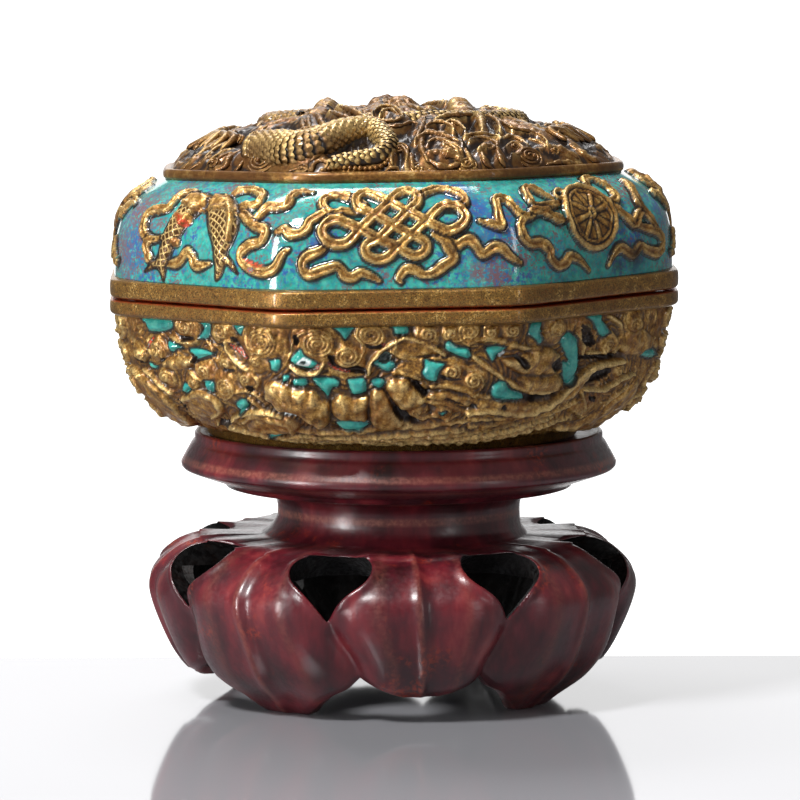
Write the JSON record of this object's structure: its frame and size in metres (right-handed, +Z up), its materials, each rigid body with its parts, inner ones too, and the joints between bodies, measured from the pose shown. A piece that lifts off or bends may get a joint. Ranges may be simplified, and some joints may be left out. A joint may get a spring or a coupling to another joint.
{
  "type": "seal paste box",
  "caption": "Octagonal gilt and turquoise glazed porcelain box with a domed dragon lid, on a carved and turned wooden stand.",
  "frame": {"origin": "on the floor, under the middle of the octagon", "axes": "+Z up, -Y towards the face of the octagon that the picture shows from the front, +X to its right"},
  "size_m": [0.1, 0.1, 0.1071],
  "materials": {
    "lid": "worn gilding and glossy turquoise enamel over porcelain",
    "box": "worn gilding over porcelain with small turquoise patches",
    "stand": "dark red polished hardwood"
  },
  "bodies": {
    "root": {"lid": "lid", "box": "box", "stand": "stand"}
  },
  "joints": []
}
